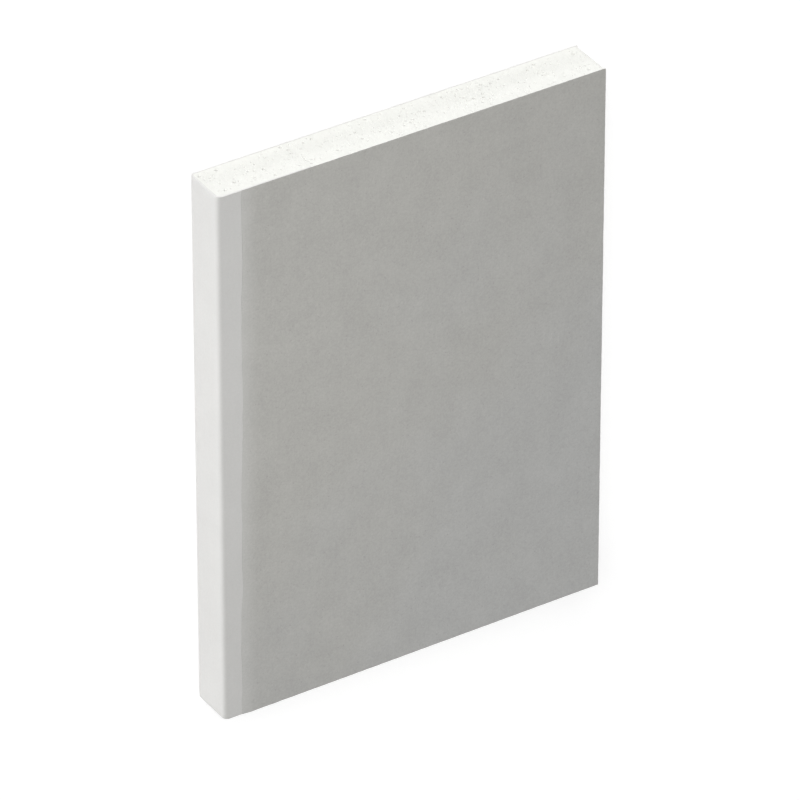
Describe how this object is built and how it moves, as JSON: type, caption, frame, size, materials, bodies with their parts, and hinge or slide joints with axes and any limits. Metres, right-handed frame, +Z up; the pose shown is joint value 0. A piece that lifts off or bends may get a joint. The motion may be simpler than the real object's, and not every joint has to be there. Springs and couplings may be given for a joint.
{
  "type": "drywall sheet",
  "caption": "Short cut piece of square-edge gypsum board: white plaster core, grey back liner up, off-white face liner folded round the bound left edge.",
  "frame": {"origin": "middle of the underside, on the face liner", "axes": "+X from the bound long edge across the board, +Y along the sheet's machine direction, +Z up out of the grey back liner"},
  "size_m": [0.105, 0.146, 0.0125],
  "materials": {
    "gypsum": "white set plaster, sawn, fine grained with small air pores",
    "face_liner": "off-white uncoated liner paper, smooth and matt",
    "back_liner": "grey recycled liner paper, matt, with fine fibres"
  },
  "bodies": {
    "root": {"gypsum_core": "gypsum", "face_paper": "face_liner", "back_paper": "back_liner"}
  },
  "joints": []
}
